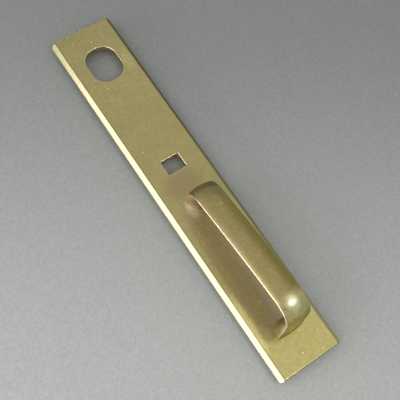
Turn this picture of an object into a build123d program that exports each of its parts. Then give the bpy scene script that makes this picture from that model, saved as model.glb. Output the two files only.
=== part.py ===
from build123d import *
import math
import os

# Door pull with backplate, in millimetres.
# X runs to the right across the plate, Z up along it, and Y back into the door.
# The back of the plate lies at Y = 0, with the origin at its middle, and the front faces -Y.

# Layout down the plate, from its top end to its bottom end
cylinder_hole_down = 39.7
thumb_slot_below_cylinder = 108.5
grip_below_slot = 33.1
grip_span = 127.2
plate_below_grip = 28.0
thumb_slot_down = cylinder_hole_down + thumb_slot_below_cylinder
grip_down = thumb_slot_down + grip_below_slot

# Backplate
plate_length = grip_down + grip_span + plate_below_grip
plate_width = 57.2
plate_thickness = 6.0
bevel_inset = 3.5
upright_edge = 1.9
corner_radius = 2.0
end_break = 0.5

# Cylinder hole, round with two flats
cylinder_hole_right = 0.6
cylinder_hole_radius = 17.2
cylinder_hole_flats = 27.6
cylinder_hole_corner = 12.0

# Slot for the thumb piece
thumb_slot_width = 16.6
thumb_slot_height = 13.1
thumb_slot_corner = 0.8

# Grip, a cast strap measured along the line of its edges
grip_width = 21.4
grip_edge = 1.8
grip_edge_round = 0.5
grip_crown = 2.2
grip_under_crown = 1.8
upper_reach = 31.1
lower_reach = 51.7
upper_lean = 5.3
lower_lean = 3.8
run_bow_radius = 755.0
upper_bend_radius = 18.0
lower_bend_radius = 15.9

# Feet of the grip, where the outer face flattens and the underside swells to take a screw
foot_crown = 0.9
crown_fade = 45.0
foot_swell = 10.3
swell_fade = 30.0
foot_trim = 3.0

# Screws that hold the grip from behind
screw_radius = 2.4
screw_length = 14.0
screw_head_radius = 4.7
screw_head_angle = 82.0
screw_head_rim = 0.4
screw_inset = 3.7
screw_tip = 0.8
screw_slot_width = 1.2
screw_slot_depth = 1.1
screw_clearance = 0.25
screw_head_clearance = 0.15
thread_clearance = 0.05
tap_run_out = 1.5

# Blind tapped holes in the back for the bolts from inside the door
bolt_hole_radius = 2.4
bolt_hole_depth = 4.5
bolt_hole_countersink = 0.5
upper_bolt_below_cylinder = 60.0
lower_bolt_up = 14.0

# Spacing of the sections that the grip is lofted through
section_spacing = 4.5


def height_on_plate(down):
    """Z of a place measured down from the plate's top end."""
    return plate_length / 2 - down


def front_point(down, out):
    """A point in the plate's middle plane, so far down the plate and so far out from its face."""
    return Vector(0, -plate_thickness - out, height_on_plate(down))


def hole_from_front(outline, x, z, depth):
    """An outline on the plate's face, run straight back through the plate."""
    face_plane = Plane(origin=(x, -plate_thickness, z), x_dir=(1, 0, 0), z_dir=(0, -1, 0))
    return extrude(face_plane * outline, amount=-depth)


def drill(x, y, z, radius, depth):
    """A round hole that opens towards the back at y and runs forwards."""
    mouth = Plane(origin=(x, y, z), x_dir=(1, 0, 0), z_dir=(0, -1, 0))
    return extrude(mouth * Circle(radius), amount=depth)


def plate_blank():
    """The bar: a flat with both long edges bevelled down to a narrow upright edge."""
    half = plate_width / 2
    section = Polyline(
        (-half, 0),
        (half, 0),
        (half, -upright_edge),
        (half - bevel_inset, -plate_thickness),
        (bevel_inset - half, -plate_thickness),
        (-half, -upright_edge),
        close=True,
    )
    bar = extrude(make_face(section), amount=plate_length / 2, both=True)
    corners = bar.edges().filter_by(Axis.Y)
    bar = fillet(corners, corner_radius)
    front = bar.faces().sort_by(Axis.Y).first
    ends = front.edges().filter_by(Axis.X)
    return chamfer(ends, end_break)


def cylinder_hole():
    """A round hole with two flats along the plate, their corners eased."""
    band = Rectangle(cylinder_hole_flats, 2 * cylinder_hole_radius)
    outline = Circle(cylinder_hole_radius) & band
    outline = fillet(outline.vertices(), cylinder_hole_corner)
    z = height_on_plate(cylinder_hole_down)
    return hole_from_front(outline, cylinder_hole_right, z, plate_thickness)


def thumb_slot():
    """The rectangular slot that the thumb piece passes through."""
    outline = RectangleRounded(thumb_slot_width, thumb_slot_height, thumb_slot_corner)
    return hole_from_front(outline, 0, height_on_plate(thumb_slot_down), plate_thickness)


def screw_heights():
    """Z of the two screws, each a little way in from the edge line of its foot."""
    upper = height_on_plate(grip_down + screw_inset)
    lower = height_on_plate(grip_down + grip_span - screw_inset)
    return upper, lower


def countersunk_hole(z):
    """Clearance hole through the plate for a grip screw, countersunk from the back."""
    shank = drill(0, 0, z, screw_radius + screw_clearance, plate_thickness)
    wide = screw_head_radius + screw_head_clearance
    narrow = screw_radius + screw_clearance
    depth = screw_head_rim + (wide - narrow) / math.tan(math.radians(screw_head_angle / 2))
    profile = Polyline((0, 0), (wide, 0), (wide, screw_head_rim), (narrow, depth), (0, depth), close=True)
    sink = revolve(make_face(profile), Axis.Y)
    return shank + Pos(0, 0, z) * mirror(sink, Plane.XZ)


def bolt_hole(z):
    """Blind tapped hole in the back, with its mouth broken."""
    bore = drill(0, 0, z, bolt_hole_radius, bolt_hole_depth)
    mouth_plane = Plane(origin=(0, 0, z), x_dir=(1, 0, 0), z_dir=(0, -1, 0))
    wide = bolt_hole_radius + bolt_hole_countersink
    mouth = extrude(mouth_plane * Circle(wide), amount=bolt_hole_countersink, taper=45)
    return bore + mouth


def bolt_heights():
    """Z of the two door bolts."""
    upper = height_on_plate(cylinder_hole_down + upper_bolt_below_cylinder)
    lower = height_on_plate(plate_length - lower_bolt_up)
    return upper, lower


def backplate():
    """The plate with its cylinder hole, thumb slot, screw holes and tapped holes."""
    plate = plate_blank() - cylinder_hole() - thumb_slot()
    for z in screw_heights():
        plate -= countersunk_hole(z)
    for z in bolt_heights():
        plate -= bolt_hole(z)
    return plate


def leg_point(foot_down, lean, out):
    """A point of a leg's centre line, which leans by an angle towards the lower end."""
    return front_point(foot_down + out * math.tan(math.radians(lean)), out)


def grip_path():
    """Side view of the strap's edge line: two leaning legs, a bowed run and a bend at each end."""
    upper_foot = leg_point(grip_down, upper_lean, -foot_trim)
    upper_corner = leg_point(grip_down, upper_lean, upper_reach)
    lower_corner = leg_point(grip_down + grip_span, -lower_lean, lower_reach)
    lower_foot = leg_point(grip_down + grip_span, -lower_lean, -foot_trim)
    chord = lower_corner - upper_corner
    outward = Vector(0, chord.Z, -chord.Y).normalized()
    sagitta = run_bow_radius - math.sqrt(run_bow_radius**2 - (chord.length / 2) ** 2)
    crest = (upper_corner + lower_corner) * 0.5 + outward * sagitta
    outline = Face(
        Wire(
            [
                Edge.make_line(upper_foot, upper_corner),
                Edge.make_three_point_arc(upper_corner, crest, lower_corner),
                Edge.make_line(lower_corner, lower_foot),
                Edge.make_line(lower_foot, upper_foot),
            ]
        )
    )
    for corner, radius in ((upper_corner, upper_bend_radius), (lower_corner, lower_bend_radius)):
        nearest = outline.vertices().sort_by_distance(corner).first
        outline = outline.fillet_2d(radius, [nearest])
    base_middle = (upper_foot + lower_foot) * 0.5
    edges = outline.edges().sort_by_distance(base_middle)[1:]
    return edges.sort_by(Axis.Z, reverse=True)


def path_stations(edges):
    """Points evenly along the path from the upper foot, each with its direction and foot distance."""
    path = Wire(edges)
    runs_down = path.position_at(0).Z > path.position_at(1).Z
    count = math.ceil(path.length / section_spacing)
    stations = []
    for step in range(count + 1):
        distance = path.length * step / count
        place = distance if runs_down else path.length - distance
        direction = path.tangent_at(place, PositionMode.LENGTH) * (1 if runs_down else -1)
        from_foot = max(min(distance, path.length - distance) - foot_trim, 0.0)
        stations.append((path.position_at(place, PositionMode.LENGTH), direction, from_foot))
    return stations


def eased(distance, at_foot, along_run, fade):
    """A rise that passes smoothly from its value at a foot to its value along the run."""
    share = min(distance / fade, 1.0)
    return along_run + (at_foot - along_run) * math.cos(share * math.pi / 2) ** 2


def strap_section(plane, crown, swell):
    """Section of the strap: crowned outer face, rounded thin edges, convex underside."""
    side = grip_width / 2 - grip_edge_round
    half_edge = grip_edge / 2
    outer = ThreePointArc((-side, half_edge), (0, half_edge + crown), (side, half_edge))
    right = ThreePointArc((side, half_edge), (grip_width / 2, 0), (side, -half_edge))
    under = ThreePointArc((side, -half_edge), (0, -half_edge - swell), (-side, -half_edge))
    left = ThreePointArc((-side, -half_edge), (-grip_width / 2, 0), (-side, half_edge))
    return plane * make_face([outer, right, under, left])


def grip():
    """The cast grip: a strap lofted along its path, its feet cut flat and tapped from below."""
    sections = []
    for point, direction, from_foot in path_stations(grip_path()):
        plane = Plane(origin=point, x_dir=(1, 0, 0), z_dir=direction)
        crown = eased(from_foot, foot_crown, grip_crown, crown_fade)
        swell = eased(from_foot, foot_swell, grip_under_crown, swell_fade)
        sections.append(strap_section(plane, crown, swell))
    body = loft(sections)
    seat = Pos(0, -plate_thickness, 0) * Box(
        2 * plate_width, 4 * foot_trim, 2 * plate_length, align=(Align.CENTER, Align.MIN, Align.CENTER)
    )
    body -= seat
    depth = screw_length - plate_thickness + tap_run_out
    for z in screw_heights():
        body -= drill(0, -plate_thickness, z, screw_radius + thread_clearance, depth)
    return body


def grip_screw(z):
    """Flat-head slotted screw, its head flush with the back of the plate."""
    head_depth = (screw_head_radius - screw_radius) / math.tan(math.radians(screw_head_angle / 2))
    profile = Polyline(
        (0, 0),
        (screw_head_radius, 0),
        (screw_head_radius, screw_head_rim),
        (screw_radius, screw_head_rim + head_depth),
        (screw_radius, screw_length - screw_tip),
        (screw_radius - screw_tip, screw_length),
        (0, screw_length),
        close=True,
    )
    screw = mirror(revolve(make_face(profile), Axis.Y), Plane.XZ)
    slot = Box(3 * screw_head_radius, 2 * screw_slot_depth, screw_slot_width)
    return Pos(0, 0, z) * (screw - slot)


def main():
    os.makedirs("parts", exist_ok=True)
    upper, lower = screw_heights()
    nodes = {
        "backplate": backplate(),
        "grip": grip(),
        "grip_screw_upper": grip_screw(upper),
        "grip_screw_lower": grip_screw(lower),
    }
    for name, shape in nodes.items():
        export_step(shape, f"parts/{name}.step")


main()
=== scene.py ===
import math
from functools import partialmethod

import bmesh
import bpy
from bpy.props import FloatProperty, FloatVectorProperty, IntProperty, PointerProperty
from mathutils import Matrix, Vector


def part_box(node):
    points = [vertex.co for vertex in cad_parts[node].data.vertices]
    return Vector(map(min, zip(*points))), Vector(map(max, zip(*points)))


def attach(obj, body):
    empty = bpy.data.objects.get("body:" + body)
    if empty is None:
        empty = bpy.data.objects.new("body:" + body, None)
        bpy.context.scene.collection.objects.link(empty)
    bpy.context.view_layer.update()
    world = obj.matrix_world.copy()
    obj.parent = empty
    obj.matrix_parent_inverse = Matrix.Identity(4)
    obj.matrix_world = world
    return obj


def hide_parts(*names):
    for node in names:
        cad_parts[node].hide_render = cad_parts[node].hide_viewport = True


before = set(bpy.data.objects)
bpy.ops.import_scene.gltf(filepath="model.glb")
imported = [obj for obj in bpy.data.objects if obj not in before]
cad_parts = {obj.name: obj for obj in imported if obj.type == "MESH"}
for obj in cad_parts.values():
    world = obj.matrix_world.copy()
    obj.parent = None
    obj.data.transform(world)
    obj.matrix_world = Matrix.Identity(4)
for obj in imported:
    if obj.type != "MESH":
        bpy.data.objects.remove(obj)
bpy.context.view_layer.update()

bl_info = {
    "name": "Door pull with backplate",
    "version": (1, 0, 0),
    "blender": (4, 5, 0),
    "location": "3D View > Sidebar > Door pull",
    "description": "Dresses the packed brass door pull: plate, grip, screws and stage",
    "category": "Object",
}

MM = 0.001
PLATE_LOW, PLATE_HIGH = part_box("backplate")
GRIP_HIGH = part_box("grip")[1]
UPPER_SCREW = sum(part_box("grip_screw_upper"), Vector()) / 2
LOWER_SCREW = sum(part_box("grip_screw_lower"), Vector()) / 2
SCREW_LOW, SCREW_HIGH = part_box("grip_screw_upper")


def length(name, description, millimetres):
    """A length property, its default given in millimetres."""
    metres = {"default": millimetres * MM, "unit": "LENGTH", "precision": 5}
    return FloatProperty(name=name, description=description, **metres)


def angle(name, description, degrees):
    """An angle property, its default given in degrees."""
    default = math.radians(degrees)
    return FloatProperty(name=name, description=description, default=default, subtype="ANGLE")


def colour(name, description, rgb):
    """A colour property, its default in linear light."""
    shown = {"subtype": "COLOR", "min": 0, "max": 1}
    return FloatVectorProperty(name=name, description=description, default=rgb, **shown)


def number(name, description, default):
    """A plain number property."""
    return FloatProperty(name=name, description=description, default=default)


class PlateSettings(bpy.types.PropertyGroup):
    edge_break: length("Edge break", "How far the edges are rubbed round", 0.5)
    ridge: length("Ridge", "From the middle to the ridge of each bevel", 25.1)
    upper_bolt: length("Upper bolt", "Height of the upper blind hole", 68.55)
    lower_bolt: length("Lower bolt", "Height of the lower blind hole", -154.25)
    small_hole: length("Small hole", "Reach round small holes of crisp edges", 5.5)
    brass: colour("Brass", "Satin brass of the plate's face", (0.525, 0.430, 0.140))
    # Olive: darker tarnish, and painted shade to the right of the upper foot
    olive: colour("Olive", "Darker, greener tarnish", (0.370, 0.350, 0.100))
    # Brown: tarnish behind the grip, with painted shadow and reflection of the grip
    brown: colour("Brown", "Brown tarnish by the grip", (0.430, 0.345, 0.160))
    # Rose: paler pink painted reflection of the grip in the upper part of that band
    rose: colour("Rose", "Pinkish bloom by the upper foot", (0.610, 0.490, 0.270))
    # Pale: painted highlight of the left bevel, which faces the window light
    pale: colour("Pale", "Whitish metal of the left bevel", (0.600, 0.555, 0.310))
    citron: colour("Citron", "Greenish yellow film of the lower end", (0.356, 0.307, 0.020))
    # Tan: warm tarnish, and the painted shadow of the grip above its upper foot
    tan: colour("Tan", "Warm brown tarnish above the grip", (0.400, 0.300, 0.120))
    # Umber: painted shade right behind the grip, and darker mottle in the band
    umber: colour("Umber", "Darker brown right behind the grip", (0.270, 0.220, 0.130))
    # Light: cleaner brass, and a painted sheen left of the lower bend
    light: colour("Light", "Cleaner brass beside the lower bend", (0.760, 0.660, 0.270))
    # Painted reflection of the upper foot, pale pink, below its left side
    blush: colour("Blush", "Pale pink patch under the upper foot", (0.920, 0.800, 0.620))
    # Dirt: dark film, and painted shade on the right bevel
    dirt: colour("Dirt", "Dark film in pits and ridges", (0.120, 0.100, 0.045))
    back: colour("Back", "Dull patina of the back", (0.230, 0.165, 0.085))
    # Fresh brass: metal rubbed bare, and painted light low on the right bevel
    fresh: colour("Fresh brass", "Metal rubbed bare on edges and scratches", (0.860, 0.760, 0.480))


class GripSettings(bpy.types.PropertyGroup):
    upper_foot_down: length("Upper foot", "Upper foot's edge line, below the top", 181.3)
    foot_span: length("Foot span", "Between both feet's edge lines", 127.2)
    upper_reach: length("Upper reach", "Corner of the upper bend, out from the plate", 31.1)
    lower_reach: length("Lower reach", "Corner of the lower bend, out from the plate", 51.7)
    upper_lean: angle("Upper lean", "Lean of the upper leg downwards", 5.3)
    lower_lean: angle("Lower lean", "Lean of the lower leg upwards", 3.8)
    bow_radius: length("Bow radius", "Radius of the bowed run", 755.0)
    upper_bend: length("Upper bend", "Radius of the upper bend", 18.0)
    lower_bend: length("Lower bend", "Radius of the lower bend", 15.9)
    width: length("Width", "Width of the strap", 21.4)
    edge: length("Edge", "Thickness of the strap's thin edges", 1.8)
    edge_round: length("Edge round", "How far the thin edges bulge", 0.5)
    crown: length("Crown", "Rise of the outer face", 2.2)
    under_crown: length("Under crown", "Rise of the underside", 1.8)
    foot_crown: length("Foot crown", "Rise of the outer face at a foot", 0.9)
    crown_fade: length("Crown fade", "Length over which it grows", 45.0)
    foot_swell: length("Foot swell", "Rise of the underside at a foot", 10.3)
    swell_fade: length("Swell fade", "Length over which it fades", 30.0)
    foot_trim: length("Foot trim", "Length cut off flush with the plate", 3.0)
    shoulder: length("Shoulder", "Width of the rubbed rounding of each edge", 0.9)
    hole_radius: length("Hole radius", "Radius of each foot's tapped hole", 2.45)
    hole_depth: length("Hole depth", "Depth of each foot's tapped hole", 9.5)
    step: length("Step", "Spacing of the strap's sections", 1.2)
    brass: colour("Brass", "Satin brass of the grip", (0.465, 0.360, 0.080))
    tan: colour("Tan", "Warmer brass along the left flank", (0.450, 0.330, 0.100))
    # Olive: painted shade of the right flank
    olive: colour("Olive", "Darker tarnish of the right flank", (0.250, 0.205, 0.005))
    # Painted shade on the upper bend, greyish green
    moss: colour("Moss", "Greyish green tarnish of the upper bend", (0.210, 0.172, 0.050))
    rose: colour("Rose", "Pinkish brown of the underside and feet", (0.700, 0.590, 0.360))
    fresh: colour("Fresh brass", "Metal rubbed bare by the hand", (0.960, 0.840, 0.640))
    # Dirt: painted shade low on the lower leg
    dirt: colour("Dirt", "Dark film low on the lower leg", (0.115, 0.125, 0.060))
    # Halo of a painted highlight on the lower bend
    sage: colour("Sage", "Pale greyish green film of the lower bend", (0.740, 0.690, 0.320))
    # Umber: painted shade inside the feet, also a duller patch on the left flank
    umber: colour("Umber", "Brown of the feet inside", (0.430, 0.310, 0.160))
    # Bare: whitish core of the painted highlight on the lower bend
    bare: colour("Bare", "Whitish metal of the lower bend", (0.800, 0.870, 0.600))


class ScrewSettings(bpy.types.PropertyGroup):
    head_radius: length("Head radius", "Radius of the head", 4.7)
    head_rim: length("Head rim", "Straight rim of the head", 0.4)
    cone: length("Cone", "Depth of the head's cone", 2.65)
    shank_radius: length("Shank radius", "Crest radius of the thread", 2.4)
    pitch: length("Pitch", "Pitch of the thread", 0.8)
    thread_depth: length("Thread depth", "From crest to root", 0.35)
    slot_width: length("Slot width", "Width of the slot", 1.2)
    slot_depth: length("Slot depth", "Depth of the slot", 1.1)
    tip: length("Tip", "Chamfer of the screw's end", 0.8)
    steps_round: IntProperty(name="Steps round", description="Facets round", default=48, min=12)
    brass: colour("Brass", "Dull brass of the screws", (0.360, 0.285, 0.110))
    dirt: colour("Dirt", "Darker film on the screws", (0.200, 0.160, 0.080))


class StageSettings(bpy.types.PropertyGroup):
    paper: colour("Paper", "Pale grey paper under the pull", (0.350, 0.362, 0.347))
    hole_right: length("Hole right", "Cylinder hole's middle across", 0.6)
    hole_height: length("Hole height", "Cylinder hole's middle in height", 128.55)
    hole_reach: length("Hole reach", "Radius where paper shows in its walls", 19.0)
    slot_height: length("Slot height", "Height of the thumb slot's middle", 20.05)
    slot_across: length("Slot across", "Half the width where paper shows in its walls", 9.5)
    slot_along: length("Slot along", "Half the height where paper shows in its walls", 7.7)
    window: number("Window", "Watts of the low light at the left", 6.2)
    lamp: number("Lamp", "Watts of the small light at the lower end", 1.75)
    glow: number("Glow", "Watts of the soft light round the lamp", 1.55)
    front: number("Front", "Watts of the broad light in front", 0.8)
    left: number("Left", "Watts of the light at the front left", 3.0)
    upleft: number("Upper left", "Watts of the light at the upper left", 0.3)
    room: number("Room", "Strength of the even light all round", 0.5)


class DoorPullSettings(bpy.types.PropertyGroup):
    plate: PointerProperty(type=PlateSettings)
    grip: PointerProperty(type=GripSettings)
    screws: PointerProperty(type=ScrewSettings)
    stage: PointerProperty(type=StageSettings)


class Graph:
    """A node tree being built: adds nodes, sets their inputs and links them."""

    def __init__(self, tree):
        self.tree = tree

    def feed(self, socket, value):
        """Links a socket to the input, or sets the input's own value."""
        if isinstance(value, bpy.types.NodeSocket):
            self.tree.links.new(value, socket)
        elif socket.type == "RGBA" and len(value) == 3:
            socket.default_value = (*value, 1.0)
        else:
            socket.default_value = value

    def add(self, kind, inputs=None, **settings):
        node = self.tree.nodes.new(kind)
        for key, value in settings.items():
            setattr(node, key, value)
        for key, value in (inputs or {}).items():
            self.feed(node.inputs[key], value)
        return node

    def out(self, kind, inputs=None, socket=0, **settings):
        return self.add(kind, inputs, **settings).outputs[socket]

    def geo(self, kind, inputs=None, socket=0, **settings):
        """A geometry node's output."""
        return self.out("GeometryNode" + kind, inputs, socket, **settings)

    def math(self, operation, *values):
        return self.out("ShaderNodeMath", dict(enumerate(values)), operation=operation)

    # Arithmetic in words
    plus = partialmethod(math, "ADD")
    minus = partialmethod(math, "SUBTRACT")
    over = partialmethod(math, "DIVIDE")
    least = partialmethod(math, "MINIMUM")
    most = partialmethod(math, "MAXIMUM")
    size = partialmethod(math, "ABSOLUTE")
    below = partialmethod(math, "LESS_THAN")
    above = partialmethod(math, "GREATER_THAN")

    def times(self, product, *factors):
        for factor in factors:
            product = self.math("MULTIPLY", product, factor)
        return product

    def within(self, value, low, high):
        """The value, held between two limits."""
        return self.least(self.most(value, low), high)

    def vector(self, operation, *values):
        socket = "Value" if operation in ("LENGTH", "DISTANCE", "DOT_PRODUCT") else "Vector"
        inputs = dict(enumerate(values))
        return self.out("ShaderNodeVectorMath", inputs, socket, operation=operation)

    def scale(self, vector, factor):
        return self.out("ShaderNodeVectorMath", {0: vector, "Scale": factor}, operation="SCALE")

    def xyz(self, x=0.0, y=0.0, z=0.0):
        return self.out("ShaderNodeCombineXYZ", {0: x, 1: y, 2: z})

    def parts(self, vector):
        return self.add("ShaderNodeSeparateXYZ", {0: vector}).outputs

    def ramp(self, value, low, high, start=0.0, end=1.0):
        """Smooth change from start to end as the value goes from low to high."""
        inputs = {0: value, 1: low, 2: high, 3: start, 4: end}
        return self.out("ShaderNodeMapRange", inputs, interpolation_type="SMOOTHSTEP")

    def ramp_mm(self, value, low, high, start=0.0, end=1.0):
        """The same for a length, low and high in millimetres."""
        return self.ramp(value, low * MM, high * MM, start, end)

    def noise(self, vector, size, detail=3.0, roughness=0.5, distortion=0.0):
        """Noise whose clouds are about as wide as size, in metres."""
        inputs = {"Vector": vector, "Scale": self.over(1.0, size), "Detail": detail}
        inputs.update({"Roughness": roughness, "Distortion": distortion})
        return self.out("ShaderNodeTexNoise", inputs)

    def blend(self, factor, first, second):
        """Mixes two colours."""
        return self.out("ShaderNodeMix", {0: factor, 6: first, 7: second}, 2, data_type="RGBA")

    def raised(self, value, *parts):
        """A value raised where masks say, each by an amount of its own."""
        for where, amount in parts:
            value = self.plus(value, self.times(where, amount))
        return value

    def capture(self, geometry, **fields):
        """Keeps fields on the points of a geometry; gives the geometry and the kept fields."""
        node = self.add("GeometryNodeCaptureAttribute", {"Geometry": geometry})
        for label, source in fields.items():
            node.capture_items.new("FLOAT" if source.type == "VALUE" else "VECTOR", label)
            self.feed(node.inputs[label], source)
        return node.outputs

    def cut(self, mesh, *cutters):
        """A mesh with others cut away from it."""
        way = {"operation": "DIFFERENCE", "solver": "EXACT"}
        node = self.add("GeometryNodeMeshBoolean", {"Mesh 1": mesh}, **way)
        for cutter in cutters:
            self.feed(node.inputs["Mesh 2"], cutter)
        return node.outputs["Mesh"]

    def finished(self, geometry, material):
        """Real, smooth geometry with its material."""
        real = self.geo("RealizeInstances", {"Geometry": geometry})
        smooth = self.geo("SetShadeSmooth", {"Geometry": real})
        return self.geo("SetMaterial", {"Geometry": smooth, "Material": material})


def new_tree(name, kind, inputs, *output):
    """A node group with one output: its tree and graph, what is given to it and its result."""
    tree = bpy.data.node_groups.new(name, kind)
    sockets = [("INPUT", *item) for item in inputs] + [("OUTPUT", *output, None)]
    for way, label, form, value in sockets:
        socket = tree.interface.new_socket(name=label, in_out=way, socket_type="NodeSocket" + form)
        if value is not None:
            socket.default_value = value
    given = tree.nodes.new("NodeGroupInput").outputs
    result = tree.nodes.new("NodeGroupOutput").inputs[0]
    return tree, Graph(tree), given, result


def geometry_tree(name, lengths, *others):
    """A geometry tree that makes one geometry from lengths, other inputs and a material."""
    inputs = [(label, "Float", 0.0) for label in lengths] + [*others, ("Brass", "Material", None)]
    return new_tree(name, "GeometryNodeTree", inputs, "Geometry", "Geometry")


def in_scene(name, data):
    """A new object in the scene."""
    item = bpy.data.objects.new(name, data)
    bpy.context.scene.collection.objects.link(item)
    return item


def bake(piece):
    """Replaces a piece's mesh with what its modifiers make of it."""
    view = piece.evaluated_get(bpy.context.evaluated_depsgraph_get())
    mesh = bpy.data.meshes.new_from_object(view)
    piece.modifiers.clear()
    piece.data = mesh


def grown_mesh(name, tree, values):
    """Runs a geometry tree once and returns a new object with its result as a plain mesh."""
    piece = in_scene(name, bpy.data.meshes.new(name))
    modifier = piece.modifiers.new("Shape", "NODES")
    modifier.node_group = tree
    for item in tree.interface.items_tree:
        if item.in_out == "INPUT" and item.name in values:
            modifier[item.identifier] = values[item.name]
    bake(piece)
    piece.data.name = name
    return piece


def chosen(settings, labels):
    """The settings that go by a geometry tree's labels."""
    return {label: getattr(settings, label.lower().replace(" ", "_")) for label in labels}


def keep(piece, slot, *nodes):
    """Hides the parts that a finished piece stands for and sets it to ride on the root body; the
    slot is not used.
    """
    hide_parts(*nodes)
    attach(piece, "root")


# Effects that the brasses share


def effect(name, **inputs):
    """Turns a function that fills in a mask into one that makes its node group once for all."""
    sockets = [("Vector", "Vector", None)]
    for label, value in inputs.items():
        sockets.append((label, "Vector" if isinstance(value, tuple) else "Float", value))

    def wrap(fill):
        def shared():
            found = bpy.data.node_groups.get(name)
            if found:
                return found
            tree, graph, given, result = new_tree(name, "ShaderNodeTree", sockets, "Mask", "Float")
            graph.feed(result, fill(graph, given))
            return tree

        return shared

    return wrap


@effect("Tarnish clouds", Size=0.02, Cover=0.5, Softness=0.2)
def clouds(graph, given):
    """Cloudy mask: clouds of a given size, more of it covered as Cover rises."""
    noise = graph.noise(given["Vector"], given["Size"], 5.0, 0.6, 0.4)
    middle = graph.minus(1.0, given["Cover"])
    low, high = graph.minus(middle, given["Softness"]), graph.plus(middle, given["Softness"])
    return graph.ramp(noise, low, high)


@effect("Hairlines", Angle=0.6, Spacing=0.0012, Reach=0.03, Amount=0.5)
def hairlines(graph, given):
    """Fine scratches across the face: thin, long marks at an angle, with gaps between."""
    spin = {"Vector": given["Vector"], "Angle": given["Angle"]}
    turned = graph.out("ShaderNodeVectorRotate", spin, rotation_type="Y_AXIS")
    x, y, z = graph.parts(turned)
    across = graph.over(x, given["Spacing"])
    along = graph.over(z, given["Reach"])
    wander = graph.times(graph.noise(turned, 30 * MM, 2.0), 3.0)
    lines = graph.xyz(graph.plus(across, wander), graph.over(y, 10 * MM), along)
    grain = graph.noise(lines, 1.0, 2.0, 0.7)
    off_line = graph.size(graph.minus(grain, 0.5))
    thin = graph.ramp(off_line, 0.0, 0.02, 1.0, 0.0)
    low = graph.minus(0.72, graph.times(given["Amount"], 0.35))
    there = graph.ramp(graph.noise(turned, 12 * MM, 2.0), low, graph.plus(low, 0.1))
    return graph.times(thin, there)


@effect("Specks", Cell=0.004, Size=0.1, Share=0.2)
def specks(graph, given):
    """Round specks of a given size on some of the cells of a given width."""
    inputs = {"Vector": given["Vector"], "Scale": graph.over(1.0, given["Cell"]), "Randomness": 1.0}
    cells = graph.add("ShaderNodeTexVoronoi", inputs).outputs
    luck = graph.parts(cells["Color"])
    picked = graph.below(luck[0], given["Share"])
    radius = graph.times(given["Size"], graph.plus(luck[1], 0.5))
    spot = graph.ramp(cells["Distance"], graph.times(radius, 0.5), radius, 1.0, 0.0)
    return graph.times(spot, picked)


@effect("Soft patch", Centre=(0.0, 0.0, 0.0), Reach=(0.01, 1.0, 0.01), Softness=0.3, Ragged=0.3)
def soft_patch(graph, given):
    """Soft, ragged patch round a centre, as wide each way as Reach says."""
    offset = graph.vector("SUBTRACT", given["Vector"], given["Centre"])
    distance = graph.vector("LENGTH", graph.vector("DIVIDE", offset, given["Reach"]))
    wander = graph.minus(graph.noise(given["Vector"], 7 * MM, 4.0, 0.6), 0.5)
    ragged = graph.plus(distance, graph.times(wander, given["Ragged"]))
    low, high = graph.minus(1.0, given["Softness"]), graph.plus(1.0, given["Softness"])
    return graph.ramp(ragged, low, high, 1.0, 0.0)


def new_material(name):
    """A new material with its graph, its surface shader and the object coordinates."""
    material = bpy.data.materials.new(name)
    material.use_nodes = True
    material.node_tree.nodes.clear()
    graph = Graph(material.node_tree)
    shader = graph.add("ShaderNodeBsdfPrincipled")
    graph.add("ShaderNodeOutputMaterial", {"Surface": shader.outputs[0]})
    place = graph.out("ShaderNodeTexCoord", socket="Object")
    return material, graph, shader, place


def mask(graph, shared, place, **inputs):
    """Uses a shared effect in a material with the material's own values."""
    return graph.out("ShaderNodeGroup", {"Vector": place, **inputs}, node_tree=shared())


def tarnish(graph, place, size, cover, softness):
    """Clouds of tarnish, about as wide as size in millimetres."""
    return mask(graph, clouds, place, Size=size * MM, Cover=cover, Softness=softness)


def scratched(graph, place, angle, spacing, amount):
    """Hairlines at an angle, spaced by millimetres."""
    size = {"Spacing": spacing * MM, "Reach": 30 * MM}
    return mask(graph, hairlines, place, Angle=angle, Amount=amount, **size)


def patch(graph, place, x, z, across, along, softness, ragged):
    """A soft patch seen from the front, its centre and reach in millimetres."""
    size = {"Centre": (x * MM, 0.0, z * MM), "Reach": (across * MM, 10.0, along * MM)}
    return mask(graph, soft_patch, place, Softness=softness, Ragged=ragged, **size)


def spots(graph, place, points, radius):
    """Small round marks at points across and up the front, all in millimetres."""
    flat = graph.vector("MULTIPLY", place, (1.0, 0.0, 1.0))
    jitter = graph.times(graph.minus(graph.noise(place, 0.9 * MM, 2.0), 0.5), 1.6 * radius * MM)
    nearest = 1.0
    for x, z in points:
        away = graph.vector("DISTANCE", flat, (x * MM, 0.0, z * MM))
        nearest = graph.least(nearest, away)
    return graph.ramp_mm(graph.plus(nearest, jitter), 0.3 * radius, radius, 1.0, 0.0)


def strokes(graph, place, lines, width):
    """Thin scratches between pairs of points seen from the front, all in millimetres."""
    flat = graph.vector("MULTIPLY", place, (1.0, 0.0, 1.0))
    nearest = 1.0
    for start, end in lines:
        foot = Vector((start[0], 0.0, start[1])) * MM
        reach = Vector((end[0], 0.0, end[1])) * MM - foot
        from_start = graph.vector("SUBTRACT", flat, tuple(foot))
        along = graph.vector("DOT_PRODUCT", from_start, tuple(reach))
        along = graph.within(graph.over(along, reach.length_squared), 0.0, 1.0)
        off_line = graph.vector("SUBTRACT", from_start, graph.scale(tuple(reach), along))
        nearest = graph.least(nearest, graph.vector("LENGTH", off_line))
    return graph.ramp_mm(nearest, 0.2 * width, width, 1.0, 0.0)


def stored(graph, name):
    """A number stored on the mesh."""
    return graph.out("ShaderNodeAttribute", socket="Fac", attribute_name=name)


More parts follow.
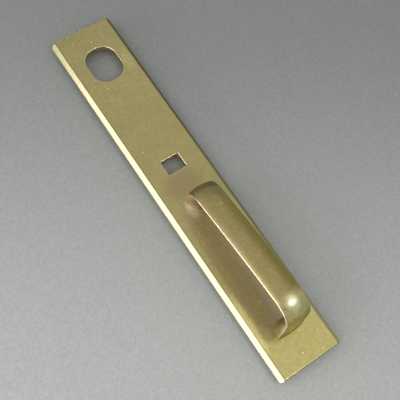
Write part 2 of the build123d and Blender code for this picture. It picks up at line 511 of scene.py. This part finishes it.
def layers(graph, settings, *coats):
    """The brass under coats laid one after another: masks, a strength and a colour's name each."""
    tone = tuple(settings.brass)
    for *masks, strength, paint in coats:
        tone = graph.blend(graph.times(*masks, strength), tone, tuple(getattr(settings, paint)))
    return tone


def finish_brass(graph, shader, tone, roughness, height, depth, lacquer, haze):
    """Wires a metal's colour, roughness and bump, under a thin film of old, hazy lacquer."""
    shader.inputs["Metallic"].default_value = 1.0
    shader.inputs["Specular Tint"].default_value = GLANCING_TINT
    shader.inputs["Coat Roughness"].default_value = haze
    shader.inputs["Coat IOR"].default_value = LACQUER_IOR
    graph.feed(shader.inputs["Coat Weight"], lacquer)
    graph.feed(shader.inputs["Base Color"], tone)
    graph.feed(shader.inputs["Roughness"], roughness)
    bump = graph.out("ShaderNodeBump", {"Strength": 1.0, "Distance": depth, "Height": height})
    graph.feed(shader.inputs["Normal"], bump)


GLANCING_TINT = (0.74, 0.74, 0.5, 1.0)
LACQUER_IOR = 1.7
BUMP_DEPTH = 0.1 * MM

# Marks that can be made out in the photo, across and up the front in millimetres
BRIGHT_SPECKS = (
    (-12.5, 158.5), (2.1, 153.2), (-10.4, 109.3), (-9.3, 106.4), (-14.9, 118.8), (4.5, 108.0),
    (-15.7, 41.2), (-6.8, -110.2), (-1.8, -159.0), (13.0, -164.4),
)
BEND_SCRATCHES = (
    ((0.9, -36.6), (3.0, -39.4)),
    ((3.3, -35.6), (1.7, -39.6)),
    ((1.2, -29.2), (2.3, -32.4)),
    ((-7.2, -16.8), (-7.3, -22.0)),
)
DARK_PITS = (
    (2.6, -144.3), (2.9, -148.9), (-1.7, -151.3), (14.5, -152.0), (-8.0, -160.0), (0.0, -143.0),
)


def plate_brass(settings):
    """Satin brass of the plate: tarnished behind the grip under painted shadow and painted
    reflection of the grip, with painted highlight and shade on its bevels, and rubbed bare on its
    edges.
    """
    material, graph, shader, place = new_material("plate_brass")
    x, y, z = graph.parts(place)
    elsewhere = graph.vector("ADD", place, (0.1, 0.2, 0.3))

    # All over the plate
    cloudy = tarnish(graph, place, 22, 0.5, 0.15)
    warm = tarnish(graph, elsewhere, 14, 0.45, 0.15)
    mottle = tarnish(graph, place, 2.6, 0.5, 0.15)
    grain = tarnish(graph, place, 1.1, 0.5, 0.2)
    lines = scratched(graph, place, 0.9, 1.5, 0.5)
    bright = spots(graph, place, BRIGHT_SPECKS, 0.9)
    pits = spots(graph, place, DARK_PITS, 0.6)

    # Round the cylinder hole
    dots = mask(graph, specks, place, Cell=3 * MM, Size=0.17, Share=0.5)
    round_hole = graph.minus(patch(graph, place, 0, 130, 26, 36, 0.3, 0.8), 0.15)
    worn = patch(graph, place, 20, 123, 5, 10, 0.5, 0.9)

    # Band behind the grip: brown tarnish under painted shadow and painted reflection of the grip
    behind = graph.ramp_mm(y, -1.2, -0.2)
    wander = graph.times(graph.minus(graph.noise(place, 7 * MM, 4.0, 0.6), 0.5), 7 * MM)
    ragged_x, ragged_z = graph.plus(x, wander), graph.plus(z, wander)
    tarnish_grip_shadow_and_reflection = graph.times(
        graph.ramp_mm(ragged_x, -21.5, -16.5),
        graph.ramp_mm(z, -139, -134),
        graph.ramp_mm(ragged_x, 20, 15),
        graph.ramp_mm(ragged_z, -8, -22),
        graph.minus(1.0, behind),
    )
    upper_half = graph.ramp_mm(z, -115, -25)
    # Painted shade right behind the lower part of the grip
    shade_under_grip = graph.times(graph.ramp_mm(x, -9, -2), graph.ramp_mm(z, -60, -110))
    # Painted shade to the right of the upper foot
    shade = patch(graph, place, 21, -20, 7, 12, 0.4, 0.5)
    # Painted shadow of the grip, above its upper foot
    above = patch(graph, place, -2, 1, 16, 13, 0.45, 0.8)
    # Painted reflection of the upper foot, below its left side
    upper_foot_reflection = patch(graph, place, -8.5, -21.5, 4.5, 7, 0.5, 0.5)
    # Painted sheen left of the lower bend, by the left bevel
    shine = patch(graph, place, -23.5, -118, 4, 24, 0.4, 0.4)

    # Lower end, bevels and edges
    lower_end = graph.ramp_mm(z, -128, -145)
    stains = tarnish(graph, elsewhere, 3.4, 0.44, 0.08)
    beside_ridge = graph.size(graph.plus(x, settings.ridge - 0.5 * MM))
    ridge = graph.ramp_mm(beside_ridge, 0.2, 0.6, 1.0, 0.0)
    # Painted highlight on the left bevel, which faces the window light
    left_bevel_highlight = graph.below(x, -settings.ridge)
    right = graph.above(x, settings.ridge)
    # Painted shade on the right bevel, darkest at the top, and painted light towards its lower end
    right_bevel_shade = graph.times(right, graph.ramp_mm(z, -110, 90, 0.05, 1.0))
    lower_right_bevel_light = graph.times(right, graph.ramp_mm(z, -60, -150))
    off_ends = graph.below(graph.size(z), 150 * MM)
    rims = graph.times(graph.below(graph.size(x), 20 * MM), off_ends)
    tone = layers(
        graph,
        settings,
        (cloudy, 0.38, "olive"),
        (warm, 0.22, "tan"),
        (worn, 0.5, "light"),
        (lower_end, 0.20, "olive"),
        (lower_end, 0.42, "citron"),
        # Painted shade to the right of the upper foot
        (shade, 0.85, "olive"),
        (mottle, 0.44, "olive"),
        (grain, 0.18, "fresh"),
        # Painted shadow of the grip above its upper foot
        (above, 0.8, "tan"),
        # Brown tarnish with painted shadow and reflection of the grip; paler pink painted
        # reflection higher up
        (tarnish_grip_shadow_and_reflection, 0.85, "brown"),
        (tarnish_grip_shadow_and_reflection, upper_half, 0.6, "rose"),
        # Painted shade right behind the lower part of the grip
        (tarnish_grip_shadow_and_reflection, shade_under_grip, 0.6, "umber"),
        (tarnish_grip_shadow_and_reflection, mottle, 0.4, "umber"),
        (tarnish_grip_shadow_and_reflection, grain, 0.18, "light"),
        (lower_end, stains, 0.4, "tan"),
        # Painted sheen left of the lower bend
        (shine, 0.8, "light"),
        # Painted reflection of the upper foot
        (upper_foot_reflection, 0.85, "blush"),
        (lines, 0.2, "fresh"),
        (ridge, 0.45, "dirt"),
        (pits, 0.7, "dirt"),
        (dots, round_hole, 0.9, "fresh"),
        (bright, 0.9, "fresh"),
        # Painted highlight on the left bevel
        (left_bevel_highlight, 0.9, "pale"),
        # Painted shade on the right bevel
        (right_bevel_shade, 0.55, "dirt"),
        # Painted light low on the right bevel
        (lower_right_bevel_light, 0.5, "fresh"),
        (stored(graph, "rubbed"), rims, 0.95, "fresh"),
        (behind, 1.0, "back"),
        (behind, cloudy, 0.35, "dirt"),
        (behind, mottle, 0.35, "brown"),
        (behind, lines, 0.3, "fresh"),
    )
    rough = graph.raised(0.19, (mottle, 0.05), (left_bevel_highlight, 0.16), (behind, 0.22), (tarnish_grip_shadow_and_reflection, 0.22))
    height = graph.raised(graph.noise(place, 20 * MM, 2.0), (mottle, 0.02), (pits, -0.3))
    finish_brass(graph, shader, tone, rough, height, BUMP_DEPTH, lacquer=0.6, haze=0.16)
    return material


def grip_brass(settings):
    """Brass of the grip: tan left flank, olive right flank in painted shade, painted shade on the
    upper bend and inside the feet, a painted highlight on the lower bend, pinkish underside and
    feet.
    """
    material, graph, shader, place = new_material("grip_brass")
    x, y, z = graph.parts(place)

    # All over the grip
    cloudy = tarnish(graph, place, 18, 0.5, 0.25)
    mottle = tarnish(graph, place, 2.4, 0.5, 0.15)
    grain = tarnish(graph, place, 1.0, 0.5, 0.2)
    lines = scratched(graph, place, 0.5, 1.6, 0.4)
    scratches = strokes(graph, place, BEND_SCRATCHES, 0.25)

    # Flanks and bends of the outer face
    left = graph.ramp_mm(x, -0.2, -9.0)
    # Painted shade on the right flank, which faces away from the window light
    right = graph.ramp_mm(x, 0.5, 8.0)
    # Painted shade on the upper bend, greyish green
    moss = patch(graph, place, 8, -20, 13, 11, 0.5, 0.6)
    # Painted highlight on the lower bend: a pale greyish green halo round a whitish core
    sage = patch(graph, place, 2, -130, 16, 9, 0.5, 0.4)
    bare = patch(graph, place, -0.5, -129, 4.5, 4.5, 0.5, 0.4)
    dull = patch(graph, place, -9, -73, 5, 17, 0.4, 0.4)
    lower_leg = graph.ramp_mm(z, -129, -138)

    # Underside and feet
    under = stored(graph, "under")
    flank = graph.ramp_mm(x, -6, -8)
    # Painted shade on the inner faces of the feet
    foot_inside_shade = graph.times(under, graph.ramp_mm(y, -27, -15))
    outside = graph.minus(1.0, under)
    # Painted shade on the lower leg's outer face, low by its foot
    lower_foot_shade = graph.times(graph.ramp_mm(y, -26, -9), graph.ramp_mm(z, -125, -134), outside)
    foot = graph.ramp(y, GRIP_HIGH.y - 1.3 * MM, GRIP_HIGH.y - 0.7 * MM)
    tone = layers(
        graph,
        settings,
        (left, 0.8, "tan"),
        # Right flank painted darker: painted shade
        (right, 0.9, "olive"),
        # Painted shade on the upper bend
        (moss, 0.9, "moss"),
        # Painted highlight: pale greyish green halo on the lower bend
        (sage, 0.85, "sage"),
        (dull, 0.35, "umber"),
        (cloudy, 0.30, "olive"),
        (mottle, 0.45, "olive"),
        (grain, 0.14, "fresh"),
        # Painted highlight: whitish core on the lower bend
        (bare, 0.5, "bare"),
        (lines, 0.12, "fresh"),
        (scratches, 0.7, "fresh"),
        (under, 1.0, "rose"),
        (under, flank, 0.8, "fresh"),
        # Painted shade inside the feet
        (foot_inside_shade, 0.85, "umber"),
        (stored(graph, "rubbed"), 0.95, "fresh"),
        (foot, under, 0.9, "fresh"),
        # Painted shade low on the lower leg, by its foot
        (lower_foot_shade, 0.72, "dirt"),
    )
    rough = graph.raised(0.29, (mottle, 0.05), (lower_leg, 0.25))
    height = graph.noise(place, 12 * MM, 2.0)
    bared = graph.most(graph.times(lower_leg, 0.9), graph.times(right, 0.4))
    finish_brass(graph, shader, tone, rough, height, BUMP_DEPTH, graph.minus(0.9, bared), haze=0.24)
    return material


def screw_brass(settings):
    """Dull brass of the screws."""
    material, graph, shader, place = new_material("screw_brass")
    mottle = tarnish(graph, place, 1.5, 0.5, 0.3)
    tone = layers(graph, settings, (mottle, 0.4, "dirt"))
    rough = graph.raised(0.42, (mottle, 0.1))
    finish_brass(graph, shader, tone, rough, mottle, BUMP_DEPTH / 5, lacquer=0.3, haze=0.3)
    return material


# Backplate

# Points and faces that count as one, and the angles that count as edges on each piece
SAME_PLACE = 1e-6
FLAT = math.radians(0.5)
PLATE_CREASE, GRIP_CREASE, SCREW_CREASE = map(math.radians, (25, 40, 35))


def worn_plate(settings):
    """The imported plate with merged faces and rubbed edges, those of small holes left crisp."""
    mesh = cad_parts["backplate"].data.copy()
    mesh.materials.clear()
    shape = bmesh.new()
    shape.from_mesh(mesh)
    rubbed = shape.faces.layers.float.new("rubbed")
    bmesh.ops.remove_doubles(shape, verts=shape.verts, dist=SAME_PLACE)
    bmesh.ops.dissolve_limit(shape, angle_limit=FLAT, verts=shape.verts, edges=shape.edges)
    # Bevels on rims this small would cross and stick out of the back
    small_holes = (UPPER_SCREW.z, LOWER_SCREW.z, settings.upper_bolt, settings.lower_bolt)
    outer = []
    for edge in shape.edges:
        if len(edge.link_faces) == 2 and edge.calc_face_angle() > PLATE_CREASE:
            middle = (edge.verts[0].co + edge.verts[1].co) / 2
            off_holes = min(math.hypot(middle.x, middle.z - z) for z in small_holes)
            edge.smooth = off_holes > settings.small_hole
            if edge.smooth:
                outer.append(edge)
    rounding = {"offset": settings.edge_break, "segments": 3, "profile": 0.5}
    bevelled = bmesh.ops.bevel(shape, geom=outer, affect="EDGES", clamp_overlap=False, **rounding)
    for face in bevelled["faces"]:
        face[rubbed] = 1.0
    for face in shape.faces:
        face.smooth = True
    shape.to_mesh(mesh)
    shape.free()
    return mesh


class DOORPULL_OT_plate(bpy.types.Operator):
    """Make the backplate with its worn edges and tarnished face"""

    bl_idname = "door_pull.plate"
    bl_label = "Backplate"

    def execute(self, context):
        settings = context.scene.door_pull.plate
        piece = in_scene("worn_backplate", worn_plate(settings))
        piece.data.materials.append(plate_brass(settings))
        normals = piece.modifiers.new("Even normals", "WEIGHTED_NORMAL")
        normals.keep_sharp = True
        bake(piece)
        keep(piece, "backplate_brass", "backplate")
        return {"FINISHED"}


# Grip

# Steps of a curve or of a round thing, and points round the strap
FACETS = 48
RING_POINTS = 112
# Block that trims the feet flush with the plate
SEAT_CUTTER = (0.1, 0.04, 0.6)
STRAP_SIZES = (
    "Width", "Edge", "Edge round", "Crown", "Under crown", "Foot crown", "Crown fade", "Foot swell",
    "Swell fade", "Shoulder", "Foot trim", "Step", "Hole radius", "Hole depth",
)


def bend_between(foot, corner, other_corner, radius, centre, run_radius):
    """Middle of the bend between a leg and the bowed run, and its ends on the leg and the run."""
    down = (foot - corner).normalized()
    inwards = Vector((0, -down.z, down.y))
    if inwards.dot(other_corner - corner) < 0:
        inwards.negate()
    start = corner + inwards * radius - centre
    half = start.dot(down)
    reach = -half - math.sqrt(half**2 - start.length_squared + (run_radius - radius) ** 2)
    middle = centre + start + down * reach
    on_leg = corner + down * reach
    on_run = centre + (middle - centre).normalized() * run_radius
    return middle, on_leg, on_run


def arc_handle(middle, start, end):
    """Handle point at the start of a Bezier segment that follows the arc from start to end."""
    radius = (start - middle).length
    turn = (start - middle).angle(end - middle)
    tangent = (end - middle) - (end - middle).project(start - middle)
    return start + tangent.normalized() * radius * math.tan(turn / 4) * 4 / 3


def grip_line(settings):
    """The strap's edge line as a Bezier curve: leg, bend, bowed run, bend and leg."""
    face = PLATE_LOW.y
    upper = PLATE_HIGH.z - settings.upper_foot_down
    lower = upper - settings.foot_span

    def leg(foot, slope, out):
        return Vector((0, face - out, foot + out * slope))

    upper_slope = -math.tan(settings.upper_lean)
    lower_slope = math.tan(settings.lower_lean)
    first = leg(upper, upper_slope, -settings.foot_trim)
    last = leg(lower, lower_slope, -settings.foot_trim)
    corner_a = leg(upper, upper_slope, settings.upper_reach)
    corner_b = leg(lower, lower_slope, settings.lower_reach)
    chord = corner_b - corner_a
    inwards = Vector((0, -chord.z, chord.y)).normalized()
    half = chord.length / 2
    radius = settings.bow_radius
    centre = (corner_a + corner_b) / 2 + inwards * math.sqrt(radius**2 - half**2)
    bends = (settings.upper_bend, settings.lower_bend)
    middle_a, leg_a, run_a = bend_between(first, corner_a, corner_b, bends[0], centre, radius)
    middle_b, leg_b, run_b = bend_between(last, corner_b, corner_a, bends[1], centre, radius)
    knots = [
        (first, first, (first * 2 + leg_a) / 3),
        (leg_a, (first + leg_a * 2) / 3, arc_handle(middle_a, leg_a, run_a)),
        (run_a, arc_handle(middle_a, run_a, leg_a), arc_handle(centre, run_a, run_b)),
        (run_b, arc_handle(centre, run_b, run_a), arc_handle(middle_b, run_b, leg_b)),
        (leg_b, arc_handle(middle_b, leg_b, run_b), (leg_b * 2 + last) / 3),
        (last, (leg_b + last * 2) / 3, last),
    ]
    data = bpy.data.curves.new("grip_line", "CURVE")
    data.dimensions = "3D"
    data.resolution_u = FACETS
    spline = data.splines.new("BEZIER")
    spline.bezier_points.add(len(knots) - 1)
    for point, (place, before, after) in zip(spline.bezier_points, knots):
        point.handle_left_type = point.handle_right_type = "FREE"
        point.co, point.handle_left, point.handle_right = place, before, after
    return data


def arc_rise(graph, across, half, rise):
    """Height of an arc of a given rise over a span, at a distance across from its middle."""
    over = graph.over(graph.times(half, half), rise)
    radius = graph.times(graph.plus(over, rise), 0.5)
    inside = graph.minus(graph.math("POWER", radius, 2.0), graph.math("POWER", across, 2.0))
    return graph.plus(graph.minus(graph.math("SQRT", inside), radius), rise)


def eased(graph, distance, at_foot, along_run, fade):
    """A rise that passes smoothly from its value at a foot to its value along the run."""
    way = graph.least(graph.over(distance, fade), 1.0)
    weight = graph.math("POWER", graph.math("COSINE", graph.times(way, math.pi / 2)), 2.0)
    return graph.plus(along_run, graph.times(graph.minus(at_foot, along_run), weight))


def strap_tree():
    """Geometry tree: a crowned strap along a path, swelling into feet, cut flush and tapped."""
    lengths = (*STRAP_SIZES, "Seat", "Upper hole", "Lower hole")
    path_input = ("Path", "Object", None)
    tree, graph, given, result = geometry_tree("Strap grip", lengths, path_input)

    source = {"Object": given["Path"]}
    path = graph.geo("ObjectInfo", source, "Geometry", transform_space="ORIGINAL")
    spacing = {"Curve": path, "Length": given["Step"]}
    evened = graph.geo("ResampleCurve", spacing, mode="LENGTH")
    traced = graph.capture(
        evened,
        Place=graph.geo("InputPosition"),
        Heading=graph.geo("InputTangent"),
        Travelled=graph.geo("SplineParameter", socket="Length"),
    )
    ring = graph.geo("CurvePrimitiveCircle", {"Resolution": RING_POINTS, "Radius": 1.0})
    marked = graph.capture(ring, Round=graph.geo("InputPosition"))
    sweep = {"Curve": traced["Geometry"], "Profile Curve": marked["Geometry"], "Fill Caps": True}
    swept = graph.geo("CurveToMesh", sweep)

    cosine, sine, _ = graph.parts(marked["Round"])
    half_width = graph.times(given["Width"], 0.5)
    half_edge = graph.times(given["Edge"], 0.5)
    side = graph.minus(half_width, given["Edge round"])
    x = graph.times(cosine, half_width)
    off_middle = graph.size(x)

    whole = graph.geo("CurveLength", {"Curve": evened})
    to_other_end = graph.minus(whole, traced["Travelled"])
    nearer = graph.least(traced["Travelled"], to_other_end)
    from_foot = graph.most(graph.minus(nearer, given["Foot trim"]), 0.0)
    crown = eased(graph, from_foot, given["Foot crown"], given["Crown"], given["Crown fade"])
    swell = eased(graph, from_foot, given["Foot swell"], given["Under crown"], given["Swell fade"])

    outer = {"Switch": graph.above(sine, 0.0), "False": swell, "True": crown}
    rise = graph.geo("Switch", outer, input_type="FLOAT")
    level = graph.least(off_middle, side)
    broad = graph.plus(half_edge, arc_rise(graph, level, side, rise))
    shoulder_start = graph.minus(half_width, given["Shoulder"])
    past = graph.over(graph.minus(off_middle, shoulder_start), given["Shoulder"])
    past = graph.within(past, 0.0, 1.0)
    rounding = graph.math("SQRT", graph.minus(1.0, graph.math("POWER", past, 2.0)))
    signed = graph.times(broad, rounding, graph.math("SIGN", sine))

    outwards = graph.vector("CROSS_PRODUCT", traced["Heading"], (1.0, 0.0, 0.0))
    offset = graph.vector("ADD", graph.xyz(x), graph.scale(outwards, signed))
    place = graph.vector("ADD", traced["Place"], offset)
    strap = graph.geo("SetPosition", {"Geometry": swept, "Position": place})
    rubbed, under = graph.ramp(past, 0.35, 0.7), graph.below(sine, 0.0)
    for name, value in (("rubbed", rubbed), ("under", under)):
        field = {"Geometry": strap, "Name": name, "Value": value}
        strap = graph.geo("StoreNamedAttribute", field)

    block = graph.geo("MeshCube", {"Size": SEAT_CUTTER})
    below = graph.xyz(0.0, graph.plus(given["Seat"], SEAT_CUTTER[1] / 2), 0.0)
    cutters = [graph.geo("Transform", {"Geometry": block, "Translation": below})]
    bore = {"Vertices": FACETS, "Radius": given["Hole radius"]}
    bore["Depth"] = graph.times(given["Hole depth"], 2.0)
    drill = graph.geo("MeshCylinder", bore)
    for hole in ("Upper hole", "Lower hole"):
        mouth = graph.xyz(0.0, given["Seat"], given[hole])
        placed = {"Geometry": drill, "Translation": mouth, "Rotation": (math.pi / 2, 0.0, 0.0)}
        cutters.append(graph.geo("Transform", placed))
    graph.feed(result, graph.finished(graph.cut(strap, *cutters), given["Brass"]))
    return tree


class DOORPULL_OT_grip(bpy.types.Operator):
    """Make the cast grip: a crowned strap that swells into two feet"""

    bl_idname = "door_pull.grip"
    bl_label = "Grip"

    def execute(self, context):
        settings = context.scene.door_pull.grip
        path = in_scene("grip_line", grip_line(settings))
        values = {
            **chosen(settings, STRAP_SIZES),
            "Path": path,
            "Seat": PLATE_LOW.y,
            "Upper hole": UPPER_SCREW.z,
            "Lower hole": LOWER_SCREW.z,
            "Brass": grip_brass(settings),
        }
        piece = grown_mesh("strap_grip", strap_tree(), values)
        bpy.data.objects.remove(path)
        piece.data.set_sharp_from_angle(angle=GRIP_CREASE)
        keep(piece, "grip_brass", "grip")
        return {"FINISHED"}


# Screws

# The outline starts and ends just off the axis, so that each end welds to one point
NEAR_AXIS = 1e-6
WELD = 4e-6
OUTLINE_STEP = 0.1 * MM
SCREW_SIZES = (
    "Head radius", "Head rim", "Cone", "Shank radius", "Pitch", "Thread depth", "Slot width",
    "Slot depth", "Tip",
)


def screw_tree():
    """Geometry tree: a countersunk slotted screw, threaded, placed at both ends of the grip."""
    lengths = (*SCREW_SIZES, "Length", "Upper", "Lower")
    steps = ("Steps round", "Int", FACETS)
    tree, graph, given, result = geometry_tree("Grip screws", lengths, steps)

    # Half outline, from the middle of the head to the middle of the tip
    cone_end = graph.plus(given["Head rim"], given["Cone"])
    tip_start = graph.minus(given["Length"], given["Tip"])
    outline = (
        (NEAR_AXIS, 0.0),
        (given["Head radius"], 0.0),
        (given["Head radius"], given["Head rim"]),
        (given["Shank radius"], cone_end),
        (given["Shank radius"], tip_start),
        (graph.minus(given["Shank radius"], given["Tip"]), given["Length"]),
        (NEAR_AXIS, given["Length"]),
    )
    corner = graph.add("GeometryNodeIndexSwitch", data_type="VECTOR")
    while len(corner.index_switch_items) < len(outline):
        corner.index_switch_items.new()
    graph.feed(corner.inputs["Index"], graph.geo("InputIndex"))
    for place, (radius, depth) in enumerate(outline):
        graph.feed(corner.inputs[str(place)], graph.xyz(radius, depth))
    line = graph.geo("MeshLine", {"Count": len(outline)})
    shaped = graph.geo("SetPosition", {"Geometry": line, "Position": corner.outputs[0]})
    profile = graph.geo("MeshToCurve", {"Mesh": shaped})
    spacing = {"Curve": profile, "Length": OUTLINE_STEP}
    fine = graph.geo("ResampleCurve", spacing, mode="LENGTH")
    marked = graph.capture(fine, Outline=graph.geo("InputPosition"))

    # Turned round the axis, its shank pared to a thread
    ring = graph.geo("CurvePrimitiveCircle", {"Resolution": given["Steps round"], "Radius": 1.0})
    turned = graph.capture(ring, Round=graph.geo("InputPosition"))
    sweep = {"Curve": turned["Geometry"], "Profile Curve": marked["Geometry"]}
    lathe = graph.geo("CurveToMesh", sweep)
    radius, depth, _ = graph.parts(marked["Outline"])
    cosine, sine, _ = graph.parts(turned["Round"])
    turn = graph.over(graph.math("ARCTAN2", sine, cosine), math.tau)
    wave = graph.math("FRACT", graph.minus(graph.over(depth, given["Pitch"]), turn))
    groove = graph.times(graph.size(graph.minus(wave, 0.5)), 2.0)
    past_head = graph.ramp(depth, cone_end, graph.plus(cone_end, given["Pitch"]))
    fade = graph.minus(tip_start, graph.times(given["Pitch"], 0.5))
    before_tip = graph.ramp(depth, tip_start, fade)
    pared = graph.minus(radius, graph.times(groove, given["Thread depth"], past_head, before_tip))
    x, z = graph.times(pared, cosine), graph.times(pared, sine)
    place = graph.xyz(x, graph.times(depth, -1.0), z)
    threaded = graph.geo("SetPosition", {"Geometry": lathe, "Position": place})
    closed = graph.geo("MergeByDistance", {"Geometry": threaded, "Distance": WELD})

    # Slotted, and set at both ends of the grip
    slot_length = graph.times(given["Head radius"], 3.0)
    slot_size = graph.xyz(slot_length, graph.times(given["Slot depth"], 2.0), given["Slot width"])
    slotted = graph.cut(closed, graph.geo("MeshCube", {"Size": slot_size}))
    spread = graph.minus(given["Lower"], given["Upper"])
    row = {"Start Location": graph.xyz(z=given["Upper"]), "Offset": graph.xyz(z=spread)}
    ends = graph.geo("MeshLine", {"Count": 2, **row})
    both = graph.geo("InstanceOnPoints", {"Points": ends, "Instance": slotted})
    graph.feed(result, graph.finished(both, given["Brass"]))
    return tree


class DOORPULL_OT_screws(bpy.types.Operator):
    """Make the two countersunk screws that hold the grip from behind"""

    bl_idname = "door_pull.screws"
    bl_label = "Grip screws"

    def execute(self, context):
        settings = context.scene.door_pull.screws
        values = {
            **chosen(settings, (*SCREW_SIZES, "Steps round")),
            "Length": SCREW_HIGH.y - SCREW_LOW.y,
            "Upper": UPPER_SCREW.z,
            "Lower": LOWER_SCREW.z,
            "Brass": screw_brass(settings),
        }
        piece = grown_mesh("grip_screws", screw_tree(), values)
        shape = bmesh.new()
        shape.from_mesh(piece.data)
        bmesh.ops.recalc_face_normals(shape, faces=shape.faces)
        shape.to_mesh(piece.data)
        shape.free()
        piece.data.set_sharp_from_angle(angle=SCREW_CREASE)
        keep(piece, "screw_brass", "grip_screw_upper", "grip_screw_lower")
        return {"FINISHED"}


# Stage

MIDDLE = (0.0, 0.0, 0.0)
LOWER_BEND = (-0.002, -0.059, -0.127)
# Each light's setting, direction from its target, distance, width, height and target, in metres
SOFTBOXES = (
    ("window", (-1.0, -0.18, -0.07), 1.0, 0.3, 1.5, MIDDLE),
    ("lamp", (0.16, -0.87, -0.46), 1.3, 0.25, 0.25, LOWER_BEND),
    ("glow", (0.22, -0.94, -0.24), 1.4, 1.0, 1.0, LOWER_BEND),
    ("front", (0.0, -1.0, 0.25), 1.7, 1.4, 1.4, MIDDLE),
    ("left", (-0.70, -0.70, 0.10), 1.2, 0.7, 0.9, MIDDLE),
    ("upleft", (-0.50, -0.60, 0.60), 1.3, 0.7, 0.7, MIDDLE),
)
PAPER_CORNERS = ((-1, -1), (1, -1), (1, 1), (-1, 1))
PAPER_REACH = 3.0
PAPER_GAP = 6 * MM
SHORT_RAY = 15 * MM
# Towards the lower left of the scene, where the paper is painted lighter: painted light across it
LIGHTER_TOWARDS = (-0.534, 0.0, -0.845)

# Viewpoint found from the photo's vanishing points
EYE = (-0.1362, -0.5153, -0.1556)
LOOKING = (0.2513, 0.9341, 0.2535)
RIGHTWARDS = (0.8286, -0.0722, -0.5552)
LENS, SENSOR = 61.69, 36.0


def paper(settings):
    """Pale grey paper, seen only from its front and not in the back of the plate on it."""
    material, graph, shader, place = new_material("grey_paper")
    x, _, z = graph.parts(place)
    shade = graph.raised(0.75, (graph.noise(place, 2.2 * MM, 4.0, 0.7), 0.5))
    # Painted light: the paper is lighter towards the lower left and darker towards the upper right
    towards_lighter = graph.vector("DOT_PRODUCT", place, LIGHTER_TOWARDS)
    shade = graph.times(shade, graph.ramp(towards_lighter, -0.2, 0.2, 0.8, 1.42))
    graph.feed(shader.inputs["Base Color"], graph.scale(tuple(settings.paper), shade))
    shader.inputs["Roughness"].default_value = 0.95
    shader.inputs["Specular IOR Level"].default_value = 0.1

    # Clear from behind, and in the plate's back but not in the walls of its openings
    behind = graph.out("ShaderNodeNewGeometry", socket="Backfacing")
    ray = graph.add("ShaderNodeLightPath").outputs
    short = graph.below(ray["Ray Length"], SHORT_RAY)
    centre = (settings.hole_right, 0.0, settings.hole_height)
    hole = graph.vector("DISTANCE", graph.xyz(x, 0.0, z), centre)
    across = graph.over(graph.size(x), settings.slot_across)
    off_middle = graph.size(graph.minus(z, settings.slot_height))
    along = graph.over(off_middle, settings.slot_along)
    slot = graph.most(across, along)
    off_hole = graph.above(hole, settings.hole_reach)
    off_slot = graph.above(slot, 1.0)
    under_plate = graph.times(ray["Is Glossy Ray"], short, off_hole, off_slot)
    unseen = graph.most(behind, under_plate)
    clear = graph.out("ShaderNodeBsdfTransparent")
    seen = graph.out("ShaderNodeMixShader", {0: unseen, 1: shader.outputs[0], 2: clear})
    output = next(n for n in material.node_tree.nodes if n.type == "OUTPUT_MATERIAL")
    graph.feed(output.inputs["Surface"], seen)
    return material


def softbox(name, direction, distance, width, height, target, watts):
    """A rectangular soft light in a direction from a target, turned to it."""
    data = bpy.data.lights.new(name, "AREA")
    data.shape = "RECTANGLE"
    data.size, data.size_y = width, height
    data.energy = watts
    light = in_scene(name, data)
    outwards = Vector(direction).normalized()
    light.location = Vector(target) + outwards * distance
    light.rotation_euler = (-outwards).to_track_quat("-Z", "Y").to_euler()


def camera():
    """The photograph's viewpoint."""
    data = bpy.data.cameras.new("camera")
    data.lens, data.sensor_width = LENS, SENSOR
    data.clip_start, data.clip_end = 0.01, 20.0
    eye = in_scene("camera", data)
    forward = Vector(LOOKING).normalized()
    up = Vector(RIGHTWARDS).normalized().cross(forward).normalized()
    turn = Matrix((forward.cross(up), up, -forward)).transposed().to_4x4()
    eye.matrix_world = Matrix.Translation(EYE) @ turn
    bpy.context.scene.camera = eye


class DOORPULL_OT_stage(bpy.types.Operator):
    """Make the pale paper behind the pull, the soft lights and the camera"""

    bl_idname = "door_pull.stage"
    bl_label = "Stage"

    def execute(self, context):
        settings = context.scene.door_pull.stage
        sheet = bpy.data.meshes.new("paper")
        back = PLATE_HIGH.y + PAPER_GAP
        corners = [(x * PAPER_REACH, back, z * PAPER_REACH) for x, z in PAPER_CORNERS]
        sheet.from_pydata(corners, [], [(0, 1, 2, 3)])
        sheet.materials.append(paper(settings))
        in_scene("paper", sheet)
        for name, *layout in SOFTBOXES:
            softbox(name, *layout, getattr(settings, name))
        world = bpy.data.worlds.new("studio")
        context.scene.world = world
        world.use_nodes = True
        sky = world.node_tree.nodes["Background"].inputs
        sky["Color"].default_value = (1.0, 1.0, 1.0, 1.0)
        sky["Strength"].default_value = settings.room
        context.scene.view_settings.view_transform = "Standard"
        camera()
        return {"FINISHED"}


PIECES = (DOORPULL_OT_plate, DOORPULL_OT_grip, DOORPULL_OT_screws, DOORPULL_OT_stage)


class DOORPULL_PT_sidebar(bpy.types.Panel):
    bl_idname = "DOORPULL_PT_sidebar"
    bl_label = "Door pull"
    bl_space_type = "VIEW_3D"
    bl_region_type = "UI"
    bl_category = "Door pull"

    def draw(self, context):
        for piece in PIECES:
            self.layout.operator(piece.bl_idname)


SETTINGS = (PlateSettings, GripSettings, ScrewSettings, StageSettings, DoorPullSettings)
CLASSES = (*SETTINGS, *PIECES, DOORPULL_PT_sidebar)


def register():
    for item in CLASSES:
        bpy.utils.register_class(item)
    bpy.types.Scene.door_pull = PointerProperty(type=DoorPullSettings)


def unregister():
    del bpy.types.Scene.door_pull
    for item in reversed(CLASSES):
        bpy.utils.unregister_class(item)


def main():
    register()
    bpy.ops.door_pull.plate()
    bpy.ops.door_pull.grip()
    bpy.ops.door_pull.screws()
    bpy.ops.door_pull.stage()


if __name__ == "__main__":
    main()
